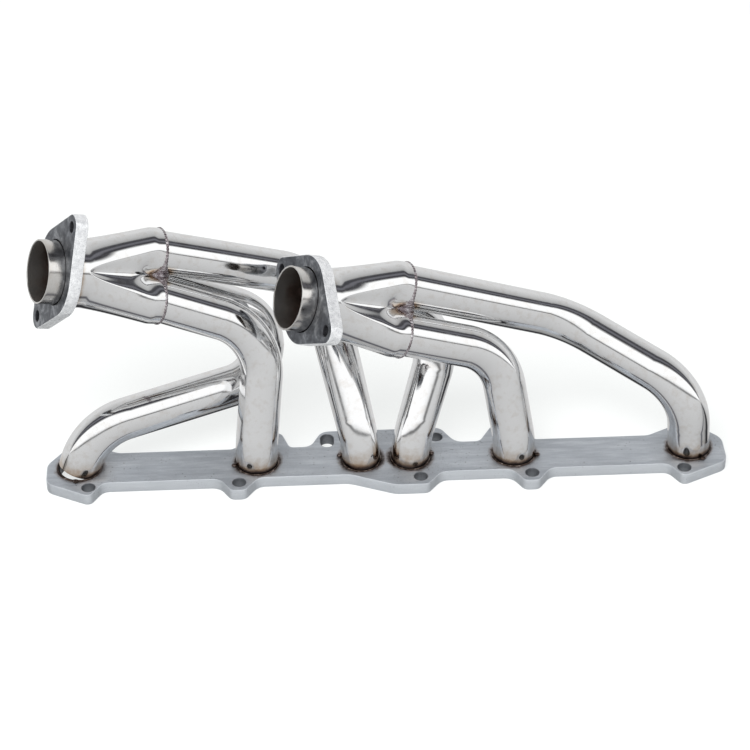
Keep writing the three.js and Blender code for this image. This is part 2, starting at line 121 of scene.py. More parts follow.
# Each tube's corners (from its port's centre at the flange's outer face) and their bend radii
ROUTES = {
    1: (((16, 7, 44), 56), ((189, 76, 51), 42), ((191, 99, 109), 42)),
    2: (((0, 0, 18), 60), ((12, 49, 128), 60)),
    3: (((0, 0, 16), 60), ((-37, 114, 146), 60)),
    4: (((0, 0, 16), 60), ((41, 78, 111), 45)),
    5: (((0, 0, 18), 60), ((-16, 27, 109), 57)),
    6: (((-5, 1, 73), 57), ((-122, 78, 111), 80)),
}
PINCHED_PORTS = (3, 4)
WELD_START = {1: -97, 2: 197, 3: 172, 4: 5, 5: -14, 6: -62}  # degrees round the port


# ---------------------------------------------------------------- numbers

def unit(v):
    v = np.asarray(v, float)
    return v / np.linalg.norm(v, axis=-1, keepdims=True)


def smooth(x, low, high):
    """0 below low and 1 above high, with the smooth cubic between them."""
    t = np.clip((x - low) / (high - low), 0, 1)
    return t * t * (3 - 2 * t)


def wobble(u, v, seed):
    """A smooth irregular height in about -1 to 1 over two arrays: a sum of seven sine waves whose
    directions and phases come from the seed."""
    rng = np.random.default_rng(seed)
    total = 0
    for k in range(7):
        a, b = rng.normal(0, 1 + 0.5 * k, 2)
        total = total + np.sin(a * u + b * v + rng.uniform(0, TAU)) / (1 + 0.5 * k)
    return total / 3.2


# ---------------------------------------------------------------- meshes

def build_mesh(name, points, faces, material, slot, flat=(), crease=38, **attributes):
    """A mesh piece from points in millimetres and a list of faces. Faces listed in flat keep their own
    normal, edges sharper than crease degrees stay sharp, and each attribute is one number per point."""
    mesh = bpy.data.meshes.new(name)
    mesh.from_pydata((np.asarray(points, float) * MM).tolist(), [], [tuple(f) for f in faces])
    mesh.validate()
    smooth_flags = np.ones(len(mesh.polygons), bool)
    if len(flat):
        smooth_flags[np.asarray(flat, int)] = False
    mesh.polygons.foreach_set("use_smooth", smooth_flags)
    mesh.set_sharp_from_angle(angle=math.radians(crease))
    for key, values in attributes.items():
        layer = mesh.attributes.new(key, "FLOAT", "POINT")
        layer.data.foreach_set("value", np.asarray(values, np.float32).ravel())
    mesh.materials.append(material)
    mesh.update()
    piece = bpy.data.objects.new(name, mesh)
    bpy.context.scene.collection.objects.link(piece)
    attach(piece, "root")
    return piece


def grid_faces(rows, columns, close_rows=False):
    """Quads over a grid of points numbered row by row, whose last column joins its first. The last row
    may join the first too."""
    r = np.arange(rows if close_rows else rows - 1)[:, None]
    c = np.arange(columns)[None, :]
    r2, c2 = (r + 1) % rows, (c + 1) % columns
    corners = (r * columns + c, r * columns + c2, r2 * columns + c2, r2 * columns + c)
    return np.stack(np.broadcast_arrays(*corners), -1).reshape(-1, 4)


def outward(points, faces):
    """The faces, turned over if the closed surface they make encloses a negative volume."""
    p = np.asarray(points, float).reshape(-1, 3)
    a, b, c, d = (p[faces[:, k]] for k in range(4))
    volume = (a * (np.cross(b, c) + np.cross(c, d))).sum()
    return faces if volume > 0 else faces[:, ::-1]


def ring_piece(name, grid, material, slot, replaces, **attributes):
    """A closed surface from a grid of points that joins up both ways, like a torus: rows go round the
    section of a wall or bead, and columns go round its axis."""
    rows, columns = grid.shape[:2]
    faces = outward(grid, grid_faces(rows, columns, close_rows=True))
    piece = build_mesh(name, grid.reshape(-1, 3), faces, material, slot, **attributes)
    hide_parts(*replaces)


# ---------------------------------------------------------------- centrelines and frames

def bent_line(corners, step):
    """Points and tangents along a line through corners [(point, bend radius or 0)], at about every
    step millimetres: straight runs joined by circular arcs of the bend radii. Also returns the numbers
    of the points where a bend starts or ends."""
    points = [np.asarray(corners[0][0], float)]
    tangents = [unit(np.asarray(corners[1][0], float) - points[0])]
    bends = []
    for (before, _), (corner, radius), (after, _) in zip(corners, corners[1:], corners[2:]):
        corner = np.asarray(corner, float)
        arriving, leaving = unit(corner - before), unit(np.asarray(after, float) - corner)
        turn = math.acos(np.clip(arriving @ leaving, -1, 1))
        side = unit(leaving - (leaving @ arriving) * arriving)
        start = corner - arriving * radius * math.tan(turn / 2)
        straight = np.linalg.norm(start - points[-1])
        count = max(int(straight / step), 1)
        last = points[-1]
        for k in range(1, count + 1):
            points.append(last + (start - last) * k / count)
            tangents.append(arriving)
        bends.append(len(points) - 1)
        count = max(int(radius * turn / step), 2)
        for k in range(1, count + 1):
            a = turn * k / count
            points.append(start + radius * (math.sin(a) * arriving + (1 - math.cos(a)) * side))
            tangents.append(math.cos(a) * arriving + math.sin(a) * side)
        bends.append(len(points) - 1)
    end = np.asarray(corners[-1][0], float)
    last = points[-1]
    count = max(int(np.linalg.norm(end - last) / step), 1)
    for k in range(1, count + 1):
        points.append(last + (end - last) * k / count)
        tangents.append(unit(end - last))
    return np.array(points), unit(np.array(tangents)), bends


def carried_frames(tangents, first):
    """Two unit vectors square to each tangent, carried along the line without twisting."""
    n = unit(np.asarray(first, float) - (np.asarray(first, float) @ tangents[0]) * tangents[0])
    normals = [n]
    for t in tangents[1:]:
        n = unit(n - (n @ t) * t)
        normals.append(n)
    normals = np.array(normals)
    return normals, np.cross(tangents, normals)


class Frame:
    """A collector's own frame: z points out of its outlet, and the origin is its mouth's centre."""

    def __init__(self, mouth, heading, climb):
        h, c, r = np.radians([heading, climb, ROLL])
        self.origin = np.array(mouth, float)
        self.z = np.array([-math.cos(c) * math.cos(h), -math.cos(c) * math.sin(h), math.sin(c)])
        upright = unit(np.array([0, 0, 1.0]) - self.z[2] * self.z)
        self.x = upright * math.cos(r) + np.cross(self.z, upright) * math.sin(r)
        self.y = np.cross(self.z, self.x)

    def place(self, x, y, z):
        x, y, z = np.broadcast_arrays(np.asarray(x, float), y, z)
        return self.origin + x[..., None] * self.x + y[..., None] * self.y + z[..., None] * self.z

    def lobe(self, k):
        a = np.radians([-30, -150, 90][k])
        return self.place(LOBE_DISTANCE * math.cos(a), LOBE_DISTANCE * math.sin(a), 0.0)


def from_valley(angle):
    """Angle round a collector's mouth from the middle of the nearest valley between two lobes."""
    turned = angle - VALLEY_ANGLE
    return turned - THIRD * np.round(turned / THIRD)


def foot_squeeze(port):
    """How much a tube's foot is pinched along X."""
    return PINCH if port in PINCHED_PORTS else 1


FRAMES = {c["name"]: Frame(c["mouth"], c["heading"], c["climb"]) for c in COLLECTORS}


def route(port):
    """The centreline's corners for a port, from the flange's face to the collector's mouth, and that
    collector's frame."""
    collector = next(c for c in COLLECTORS if port in c["ports"])
    local = FRAMES[collector["name"]]
    foot = np.array([PORT_X[port - 1], 0, FLANGE_THICKNESS], float)
    corners = [(foot, 0)] + [(foot + np.array(p, float), r) for p, r in ROUTES[port]]
    socket = local.lobe(collector["ports"].index(port))
    return corners + [(socket, 0)], local


# ---------------------------------------------------------------- materials

class Nodes:
    """Short names for building a material's node tree."""

    def __init__(self, name):
        self.material = bpy.data.materials.new(name)
        self.material.use_nodes = True
        self.tree = self.material.node_tree
        self.bsdf = self.tree.nodes["Principled BSDF"]

    def add(self, kind, settings=None, **inputs):
        node = self.tree.nodes.new(kind)
        for key, value in (settings or {}).items():
            setattr(node, key, value)
        for key, value in inputs.items():
            self.connect(node, key, value)
        return node

    def connect(self, node, key, value):
        socket = node.inputs[int(key[1:])] if key[0] == "i" and key[1:].isdigit() else node.inputs[key]
        if isinstance(value, bpy.types.NodeSocket):
            self.tree.links.new(value, socket)
        else:
            socket.default_value = value

    def math(self, operation, a, b=0.0, clamp=False):
        settings = {"operation": operation, "use_clamp": clamp}
        return self.add("ShaderNodeMath", settings, i0=a, i1=b).outputs[0]

    def coords(self, scale=(1, 1, 1)):
        source = self.add("ShaderNodeTexCoord").outputs["Object"]
        return self.add("ShaderNodeMapping", Vector=source, Scale=scale).outputs[0]

    def noise(self, vector, scale, detail, roughness=0.55, distortion=0.0):
        node = self.add("ShaderNodeTexNoise", Vector=vector, Scale=scale, Detail=detail,
                        Roughness=roughness, Distortion=distortion)
        return node.outputs["Fac"]

    def voronoi(self, vector, scale):
        return self.add("ShaderNodeTexVoronoi", Vector=vector, Scale=scale).outputs["Distance"]

    def attribute(self, name):
        return self.add("ShaderNodeAttribute", {"attribute_name": name}).outputs["Fac"]

    def ramp(self, factor, stops):
        node = self.add("ShaderNodeValToRGB", Fac=factor)
        ramp = node.color_ramp
        while len(ramp.elements) < len(stops):
            ramp.elements.new(0.5)
        for element, (position, colour) in zip(ramp.elements, stops):
            element.position = position
            element.color = (*colour, 1)
        return node.outputs[0]

    def grey(self, factor, low, high, value_low=0.0, value_high=1.0):
        node = self.add("ShaderNodeMapRange", {"clamp": True}, Value=factor)
        limits = (("From Min", low), ("From Max", high), ("To Min", value_low), ("To Max", value_high))
        for key, value in limits:
            node.inputs[key].default_value = value
        return node.outputs[0]

    def mix(self, factor, a, b, blend="MIX"):
        node = self.add("ShaderNodeMix", {"data_type": "RGBA", "blend_type": blend})
        self.connect(node, "i0", factor)
        for index, value in ((6, a), (7, b)):
            if isinstance(value, bpy.types.NodeSocket):
                self.tree.links.new(value, node.inputs[index])
            else:
                node.inputs[index].default_value = (*value, 1)
        return node.outputs[2]

    def bump(self, height, distance, strength=1.0, normal=None):
        node = self.add("ShaderNodeBump", Height=height, Distance=distance, Strength=strength)
        if normal is not None:
            self.tree.links.new(normal, node.inputs["Normal"])
        return node.outputs[0]

    def port_distance(self, vector):
        """Distance in metres from a point to the nearest tube's axis."""
        flat = self.add("ShaderNodeMapping", Vector=vector, Scale=(1, 1, 0)).outputs[0]
        nearest = None
        for x in PORT_X:
            settings = {"operation": "DISTANCE"}
            node = self.add("ShaderNodeVectorMath", settings, i0=flat, i1=(x * MM, 0, 0))
            far = node.outputs["Value"]
            nearest = far if nearest is None else self.math("MINIMUM", nearest, far)
        return nearest

    def finish(self, colour, roughness, normal=None, metallic=1.0):
        self.connect(self.bsdf, "Base Color", colour)
        self.connect(self.bsdf, "Roughness", roughness)
        self.bsdf.inputs["Metallic"].default_value = metallic
        if normal is not None:
            self.connect(self.bsdf, "Normal", normal)
        return self.material


# Heat tint of polished steel, from a weld (0) to clean metal (1)
TINT = ((0.0, (0.02, 0.016, 0.014)), (0.16, (0.055, 0.035, 0.028)), (0.34, (0.2, 0.13, 0.09)),
        (0.5, (0.38, 0.28, 0.2)), (0.64, (0.56, 0.48, 0.41)), (0.82, (0.72, 0.69, 0.66)),
        (1.0, (0.83, 0.835, 0.84)))


def polished_steel(name):
    """Mirror steel: a faint unevenness bends its reflections, fine grain and dull smears roughen it in
    places, and the attribute "cool" (0 at a weld, 1 away from it) drives the heat tint."""
    n = Nodes(name)
    p = n.coords()
    cool = n.attribute("cool")
    ragged = n.math("ADD", cool, n.grey(n.noise(p, 140, 3), 0.3, 0.7, -0.1, 0.1))
    tint = n.ramp(n.math("ADD", ragged, 0.0, True), TINT)
    clouds = n.noise(p, 22, 5, 0.6)
    colour = n.mix(n.grey(clouds, 0.42, 0.75, 0, 0.07), tint, (0.68, 0.67, 0.65))
    smears = n.noise(p, 60, 6, 0.65, 0.6)
    roughness = n.math("ADD", n.grey(smears, 0.35, 0.75, 0.045, 0.16), n.grey(cool, 0, 0.7, 0.3, 0))
    waves = n.noise(p, 26, 1.5, 0.4)
    lines = n.noise(p, 900, 2, 0.5)
    normal = n.bump(waves, 0.0011, 0.01)
    normal = n.bump(lines, 0.00004, 0.1, normal)
    return n.finish(colour, roughness, normal)


def blasted_steel(name):
    """Grey blasted plate: a fine even grain, faint rolled streaks along X, pits and spatter, and soot
    and brown that fade away from the tubes' feet. The walls of its holes are painted darker as painted
    shade."""
    n = Nodes(name)
    p = n.coords()
    edge = n.attribute("edge")
    streaks = n.noise(n.coords((3, 22, 22)), 9, 6, 0.65)
    grain = n.noise(p, 1500, 2, 0.6)
    clouds = n.noise(p, 30, 5, 0.65)
    base = n.ramp(n.grey(streaks, 0.3, 0.72), (
        (0, (0.46, 0.495, 0.54)), (0.5, (0.57, 0.605, 0.65)), (1, (0.7, 0.735, 0.775))))
    base = n.mix(n.grey(clouds, 0.45, 0.75, 0, 0.3), base, (0.4, 0.42, 0.45))
    base = n.mix(n.grey(grain, 0.35, 0.68, 0, 0.3), base, (0.26, 0.275, 0.3))
    pits = n.grey(n.voronoi(p, 190), 0.06, 0.14, 1, 0)
    sparse = n.grey(n.noise(p, 34, 2), 0.5, 0.58)
    fine_pits = n.grey(n.voronoi(p, 520), 0.1, 0.2, 1, 0)
    clustered = n.grey(n.noise(p, 24, 3), 0.5, 0.6)
    coarse = n.math("MULTIPLY", pits, sparse)
    pitted = n.math("MAXIMUM", coarse, n.math("MULTIPLY", fine_pits, clustered))
    base = n.mix(n.math("MULTIPLY", pitted, 0.9), base, (0.06, 0.055, 0.055))
    far = n.port_distance(p)
    foot = TUBE_RADIUS * MM
    ragged = n.math("ADD", far, n.grey(n.noise(p, 60, 5, 0.7), 0.3, 0.7, -0.0025, 0.0025))
    soot = n.ramp(n.grey(ragged, foot - 0.001, foot + 0.005), (
        (0, (0.03, 0.024, 0.022)), (0.3, (0.2, 0.16, 0.14)), (0.62, (0.72, 0.66, 0.63)), (1, (1, 1, 1))))
    colour = n.mix(1.0, base, soot, "MULTIPLY")
    colour = n.mix(n.math("MULTIPLY", edge, 0.55), colour, (0.8, 0.835, 0.87))
    # painted shade: the walls of the holes (attribute "bore") are painted darker
    colour = n.mix(n.math("MULTIPLY", n.attribute("bore"), 0.7), colour, (0.12, 0.125, 0.135))
    roughness = n.math("ADD", n.grey(grain, 0.3, 0.7, 0.36, 0.55), n.math("MULTIPLY", pitted, 0.2))
    normal = n.bump(grain, 0.00012, 0.5)
    normal = n.bump(pitted, 0.0003, -0.6, normal)
    return n.finish(colour, roughness, normal, 0.75)


def weld_metal(name, low, high, brown):
    """A weld bead: rippled bright metal with brown and black oxide in the hollows."""
    n = Nodes(name)
    p = n.coords()
    patches = n.noise(p, 150, 4, 0.65)
    fine = n.noise(p, 900, 3, 0.6)
    colour = n.ramp(n.grey(patches, 0.32, 0.68), ((0, low), (0.55, brown), (1, high)))
    colour = n.mix(n.grey(fine, 0.45, 0.75, 0, 0.5), colour, (0.08, 0.07, 0.07))
    roughness = n.grey(patches, 0.3, 0.7, 0.34, 0.14)
    normal = n.bump(fine, 0.00025, 0.55)
    normal = n.bump(patches, 0.0012, 0.5, normal)
    return n.finish(colour, roughness, normal)


def brushed_steel(name):
    """Turned satin steel: the attribute "along" (millimetres down the pipe's axis) carries the fine
    rings, the attribute "cool" the brown inside, which is partly real heat tint and partly painted shade
    deepening down the bore, and the attribute "bore" (1 inside) a duller finish."""
    n = Nodes(name)
    p = n.coords()
    along = n.add("ShaderNodeCombineXYZ", X=n.attribute("along"), Y=0.0, Z=0.0).outputs[0]
    rings = n.noise(along, 3.2, 5, 0.75)
    clouds = n.noise(p, 45, 4, 0.6)
    cool = n.attribute("cool")
    shade = n.ramp(n.grey(rings, 0.3, 0.7), (
        (0, (0.5, 0.49, 0.48)), (0.5, (0.7, 0.69, 0.67)), (1, (0.88, 0.87, 0.85))))
    shade = n.mix(n.grey(clouds, 0.5, 0.75, 0, 0.4), shade, (0.4, 0.36, 0.33))
    # the dark end of this ramp is heat tint and painted shade inside the bore
    ragged = n.math("ADD", cool, n.grey(clouds, 0.3, 0.7, -0.25, 0.25), True)
    tint = n.ramp(ragged, (
        (0, (0.12, 0.055, 0.045)), (0.4, (0.5, 0.38, 0.33)), (0.75, (0.9, 0.86, 0.83)), (1, (1, 1, 1))))
    colour = n.mix(1.0, shade, tint, "MULTIPLY")
    bore = n.attribute("bore")
    roughness = n.math("ADD", n.grey(rings, 0.3, 0.7, 0.09, 0.16), n.math("MULTIPLY", bore, 0.11))
    normal = n.bump(rings, 0.0001, 0.5)
    material = n.finish(colour, roughness, normal)
    n.connect(n.bsdf, "Metallic", n.grey(bore, 0, 1, 1, 0.95))
    return material


def machined_flange(name):
    """Dark, scuffed flange faces with brighter sawn edges: the attribute "edge" is 1 on the rim, and
    "bore" is 1 in a hole, whose wall is painted dark as painted shade round the stub and in the bolt
    holes."""
    n = Nodes(name)
    p = n.coords()
    edge = n.attribute("edge")
    mottle = n.noise(p, 75, 6, 0.7, 0.4)
    grain = n.noise(p, 1300, 2, 0.6)
    face = n.ramp(n.grey(mottle, 0.3, 0.72), (
        (0, (0.055, 0.06, 0.07)), (0.5, (0.15, 0.16, 0.178)), (1, (0.5, 0.52, 0.55))))
    sawn = n.grey(n.noise(p, 240, 5, 0.7), 0.3, 0.7)
    rim = n.ramp(sawn, ((0, (0.6, 0.61, 0.63)), (1, (0.95, 0.96, 0.97))))
    colour = n.mix(edge, face, rim)
    # painted shade: the centre bore and bolt holes (attribute "bore") are painted nearly black
    colour = n.mix(n.math("MULTIPLY", n.attribute("bore"), 0.85), colour, (0.08, 0.08, 0.09))
    colour = n.mix(n.grey(grain, 0.45, 0.75, 0, 0.35), colour, (0.1, 0.1, 0.11))
    scratch = n.grey(n.voronoi(p, 120), 0.02, 0.07, 1, 0)
    scarce = n.grey(n.noise(p, 55, 3), 0.55, 0.62)
    marks = n.math("MULTIPLY", scratch, scarce)
    colour = n.mix(marks, colour, (0.8, 0.81, 0.83))
    roughness = n.math("SUBTRACT", n.grey(mottle, 0.3, 0.7, 0.48, 0.34), n.math("MULTIPLY", edge, 0.12))
    normal = n.bump(grain, 0.0001, 0.4)
    normal = n.bump(mottle, 0.0006, 0.25, normal)
    material = n.finish(colour, roughness, normal)
    n.connect(n.bsdf, "Metallic", n.grey(edge, 0, 1, 0.85, 0.3))
    return material


POLISHED = polished_steel("polished_stainless")
BLASTED = blasted_steel("blasted_steel")
WELD = weld_metal("weld_metal", (0.02, 0.016, 0.016), (0.3, 0.25, 0.23), (0.07, 0.048, 0.038))
SILVER_WELD = weld_metal("collector_weld", (0.22, 0.18, 0.19), (0.82, 0.81, 0.83), (0.48, 0.43, 0.45))
BRUSHED = brushed_steel("brushed_stainless")
MACHINED = machined_flange("machined_flange")


# ---------------------------------------------------------------- plates

def rounded_outline(corners, count=10):
    """A closed outline through corners (x, y, radius): each corner is a quadratic curve that starts and
    ends where an arc of that radius would, so it is the curve (1-t)^2 A + 2t(1-t) C + t^2 B."""
    c = np.array([p[:2] for p in corners], float)
    radius = np.array([p[2] for p in corners], float)
    before, after = unit(np.roll(c, 1, 0) - c), unit(np.roll(c, -1, 0) - c)
    half = np.arccos(np.clip((before * after).sum(1), -1, 1)) / 2
    run = (radius / np.tan(half))[:, None]
    t = np.linspace(0, 1, count)[None, :, None]
    start, end = (c + before * run)[:, None], (c + after * run)[:, None]
    return ((1 - t) ** 2 * start + 2 * t * (1 - t) * c[:, None] + t**2 * end).reshape(-1, 2)


def circle_outline(x, y, radius, count=48):
    """A circle about (x, y)."""
    a = np.linspace(0, TAU, count, endpoint=False)
    return np.stack([x + radius * np.cos(a), y + radius * np.sin(a)], -1)


def slot_outline(x, y, radius, length, count=24):
    """A slot along y with round ends, about (x, y)."""
    a = np.linspace(0, math.pi, count)
    reach = length / 2 - radius
    top = np.stack([x + radius * np.cos(a), y + reach + radius * np.sin(a)], -1)
    return np.concatenate([top, np.array([2 * x, 2 * y]) - top])


def plate_points(loops, thickness, rounding, steps=4):
    """Points and faces of a flat plate whose first loop is its outline and whose others are holes. Every
    edge is a quarter circle of its loop's rounding: at angle a the loop has moved rounding(1 - sin a)
    into the metal and lies rounding(1 - cos a) from the face. Also returns which faces are the two flat
    ones, and how much each point belongs to the outline's edge and to a hole's wall."""
    points, faces, rim, bore = [], [], [], []
    caps = {0: [], 1: []}
    count = 0
    for index, loop in enumerate(loops):
        loop = np.asarray(loop, float)
        area = np.sum(loop[:, 0] * np.roll(loop[:, 1], -1) - np.roll(loop[:, 0], -1) * loop[:, 1])
        if (area > 0) == (index > 0):
            loop = loop[::-1]
        edge = np.roll(loop, -1, 0) - np.roll(loop, 1, 0)
        inward = unit(np.stack([-edge[:, 1], edge[:, 0]], -1))
        r = rounding[index] if index < len(rounding) else rounding[-1]
        a = np.linspace(0, math.pi / 2, steps + 1)
        depth = np.concatenate([r * (1 - np.sin(a)), r * (1 - np.sin(a[::-1]))])
        height = np.concatenate([r * (1 - np.cos(a)), thickness - r * (1 - np.cos(a[::-1]))])
        rows = len(depth)
        xy = loop[None] + inward[None] * depth[:, None, None]
        z = np.broadcast_to(height[:, None], xy.shape[:2])
        block = np.concatenate([xy, z[..., None]], -1)
        n = len(loop)
        faces.extend((grid_faces(rows, n) + count).tolist())
        for side, row in ((0, 0), (1, rows - 1)):
            caps[side].append(np.arange(n) + count + row * n)
        weight = np.ones((rows, n))
        weight[[0, -1]] = 0.0
        rim.append(weight.ravel() * (index == 0))
        bore.append(weight.ravel() * (index > 0))
        points.append(block.reshape(-1, 3))
        count += rows * n
    points = np.concatenate(points)
    flat = []
    for side in (0, 1):
        numbers = np.concatenate(caps[side])
        outlines = [[tuple(points[i]) for i in loop] for loop in caps[side]]
        for triangle in tessellate_polygon(outlines):
            corners = numbers[list(triangle)]
            a, b, c = points[corners]
            up = np.cross(b - a, c - a)[2] > 0
            flat.append(len(faces))
            faces.append(tuple(corners if up == (side == 1) else corners[::-1]))
    return points, faces, flat, np.concatenate(rim), np.concatenate(bore)


def head_flange_loops():
    """The head flange's outline and its holes: nine bolt holes, then six ports."""
    second, middle, fourth = -149.5, 34, 147

    def front_ear(x):
        return [(x - 20, -STRIP_FRONT, 15), (x - 8.5, -FRONT_REACH, 9), (x + 6, -FRONT_REACH, 9),
                (x + 19.5, -STRIP_FRONT, 15)]

    def back_ear(right, left):
        return [(right, STRIP_BACK, 6), (right - 8, BACK_REACH, 9), (left + 14, BACK_REACH, 9),
                (left, STRIP_BACK, 9)]

    def end_lobe(side, land, shoulder):
        corners = [(-24.5, -STRIP_FRONT, 12), (-11.4, -FRONT_REACH - 1.7, 8), (land, -23.6, 14),
                   (land, shoulder, 18), (5, BACK_REACH - 1.7, 20), (-39, STRIP_BACK, 18)]
        placed = [(side * (PORT_X[5] + x), y, r) for x, y, r in corners]
        return placed if side > 0 else placed[::-1]

    corners = front_ear(second)
    corners += [(middle - 72, -STRIP_FRONT, 30), (middle - 26, -FRONT_REACH, 30),
                (middle + 7, -FRONT_REACH, 9), (middle + 22, -STRIP_FRONT, 15)]
    corners += front_ear(fourth) + end_lobe(1, END_LAND_6, 13) + back_ear(154, 98)
    corners += [(73, STRIP_BACK, 16), (59, BACK_REACH, 12), (-64, BACK_REACH, 14), (-76, STRIP_BACK, 13)]
    corners += back_ear(-97, -154) + end_lobe(-1, END_LAND_1, 6)
    loops = [rounded_outline(corners)]
    hole = BOLT_HOLE / 2
    loops += [circle_outline(x, FRONT_BOLTS_Y, hole) for x in (-301, second, middle, fourth, 302)]
    loops += [slot_outline(-58.5, BACK_BOLTS_Y, hole, SLOT_LENGTH)]
    loops += [circle_outline(53.5, BACK_BOLTS_Y, hole)]
    loops += [circle_outline(x, HIDDEN_BOLTS_Y, hole) for x in (PORT_X[1], PORT_X[4])]
    loops += [circle_outline(x, 0, TUBE_RADIUS - TUBE_WALL, 72) for x in PORT_X]
    return loops


def head_flange():
    rounding = [0.9] + [0.7] * 9 + [0.2] * 6  # the outline, the bolt holes and the ports
    points, faces, flat, rim, bore = plate_points(head_flange_loops(), FLANGE_THICKNESS, rounding)
    piece = build_mesh("head_flange_plate", points, faces, BLASTED, "blasted_steel", flat,
                       edge=rim, bore=bore)
    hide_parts("head_flange")


head_flange()


# ---------------------------------------------------------------- tubes

def tube_piece(port):
    """A bent tube: a ring of radius R(s, a) carried along the centreline, pinched sideways at the foot
    of the inner two. A faint step stands where the bender gripped it, at each end of a bend."""
    corners, local = route(port)
    points, tangents, bends = bent_line(corners, step=2.0)
    normals, sides = carried_frames(tangents, (0, 1, 0))
    count = 96
    a = np.linspace(0, TAU, count, endpoint=False)
    s = np.concatenate([[0], np.cumsum(np.linalg.norm(np.diff(points, axis=0), axis=1))])
    step = np.zeros(len(s))
    for i in bends:
        step += 0.07 * np.exp(-((s - s[i]) / 1.6) ** 2)
    rows = []
    for radius, flip in ((TUBE_RADIUS, 1), (TUBE_RADIUS - TUBE_WALL, -1)):
        uneven = 0.012 * wobble(s[:, None] / 45, 2 * np.cos(a)[None], port)
        r = radius + flip * step[:, None] + uneven
        ring = points[:, None] + r[..., None] * (
            np.cos(a)[None, :, None] * normals[:, None] + np.sin(a)[None, :, None] * sides[:, None])
        rows.append(ring)
    outer, inner = rows
    grid = np.concatenate([outer, inner[::-1]])
    if port in PINCHED_PORTS:
        height = grid[..., 2] - FLANGE_THICKNESS
        squeeze = PINCH + (1 - PINCH) * smooth(height, 0, PINCH_HEIGHT)
        middle = np.interp(grid[..., 2], points[:, 2], points[:, 0])
        grid[..., 0] = middle + (grid[..., 0] - middle) * squeeze
    # Square the ends: nothing below the flange's face or past the collector's mouth
    grid[..., 2] = np.maximum(grid[..., 2], FLANGE_THICKNESS + GAP)
    past = (grid - local.origin) @ local.z + GAP
    near = np.linalg.norm(grid - local.origin, axis=-1) < 70
    grid = np.where((near & (past > 0))[..., None], grid - past[..., None] * local.z, grid)
    flat_grid = grid.reshape(-1, 3)
    above = flat_grid[:, 2] - FLANGE_THICKNESS
    tint = smooth(above, 1, 26) * 0.42 + smooth(above, 0, 8.5) * 0.58
    mouth = -((flat_grid - local.origin) @ local.z)
    valley = valley_weight(local, flat_grid)
    near_mouth = 1 - valley * (1 - smooth(mouth, 2, 20))
    at_collector = np.linalg.norm(flat_grid - local.origin, axis=-1) < 90
    cool = np.minimum(tint, np.where(at_collector, near_mouth, 1))
    ring_piece(f"tube_{port}", grid, POLISHED, "polished_stainless", [f"primary_tube_{port}"], cool=cool)


def valley_weight(local, points):
    """1 in the middle of a valley between two lobes, 0 on the lobes, by the angle round the mouth."""
    offset = points - local.origin
    away = np.abs(from_valley(np.arctan2(offset @ local.y, offset @ local.x)))
    return 1 - smooth(away, 0.10, 0.34)


for port in range(1, 7):
    tube_piece(port)


# ---------------------------------------------------------------- port welds

def port_weld(port):
    """The fillet round a tube's foot: its section's outer surface sinks from the tube to the plate and
    is rippled round the port, with the round scar of its start and end as a separate swell."""
    count, rows = 200, 12
    a = np.linspace(0, TAU, count, endpoint=False)[None]
    t = np.linspace(0, 1, rows)[:, None]
    inner = TUBE_RADIUS + 0.25
    uneven = wobble(6 * np.cos(a), 6 * np.sin(a), port + 20)
    ripple = 0.22 * np.sin(70 * a + 2 * np.sin(3 * a)) + 0.3 * uneven
    start = math.radians(WELD_START[port])
    near = np.exp(-(((a - start + math.pi) % TAU - math.pi) / 0.13) ** 2)
    reach = 1.5 + 0.2 * ripple + 0.9 * near
    height = 1.3 + 0.25 * ripple + 0.9 * near
    bulge = np.sin(t * math.pi / 2)
    r = inner + reach * (1 - t) ** 0.8
    z = height * bulge
    floor_r = inner + reach * np.linspace(0.02, 0.98, 3)[:, None]
    floor_z = np.full_like(floor_r, 0.02)
    r = np.concatenate([np.broadcast_to(r, (rows, count)), np.broadcast_to(floor_r, (3, count))])
    z = np.concatenate([np.broadcast_to(z, (rows, count)), np.broadcast_to(floor_z, (3, count))])
    squeeze = foot_squeeze(port)
    grid = np.stack([PORT_X[port - 1] + r * np.cos(a) * squeeze, r * np.sin(a) + 0 * r,
                     FLANGE_THICKNESS + GAP * 0.2 + z], -1)
    ring_piece(f"foot_weld_{port}", grid, WELD, "weld_metal", [f"port_weld_{port}"])


def blob(name, centre, radii, seed, material, slot):
    """A lump of weld: a sphere whose radius is 1 + 0.12 of a smooth irregular height, stretched to its
    three radii. Its poles are single points."""
    rows, count = 14, 24
    b = np.linspace(0, math.pi, rows)[1:-1, None]
    a = np.linspace(0, TAU, count, endpoint=False)[None]
    shape = np.stack([np.sin(b) * np.cos(a), np.sin(b) * np.sin(a), np.cos(b) + 0 * a], -1)
    uneven = wobble(3 * shape[..., 0] + shape[..., 2], 3 * shape[..., 1], seed)
    shape = shape * (1 + 0.12 * uneven)[..., None]
    body = shape.reshape(-1, 3)
    points = np.concatenate([body, [[0, 0, 1.0], [0, 0, -1.0]]]) * np.asarray(radii, float)
    points = points + np.asarray(centre, float)
    faces = grid_faces(rows - 2, count)[:, ::-1].tolist()
    top, bottom = len(body), len(body) + 1
    last = (rows - 3) * count
    for k in range(count):
        j = (k + 1) % count
        faces.append((k, j, top))
        faces.append((last + j, last + k, bottom))
    build_mesh(name, points, faces, material, slot, crease=180)


for port in range(1, 7):
    port_weld(port)
    spot = math.radians(WELD_START[port])
    reach = TUBE_RADIUS + 2.6
    squeeze = foot_squeeze(port)
    place = (PORT_X[port - 1] + reach * math.cos(spot) * squeeze, reach * math.sin(spot),
             FLANGE_THICKNESS + 1.6)
    blob(f"foot_weld_start_{port}", place, (3.0, 2.6, 1.9), port + 40, WELD, "weld_metal")


# ---------------------------------------------------------------- collectors

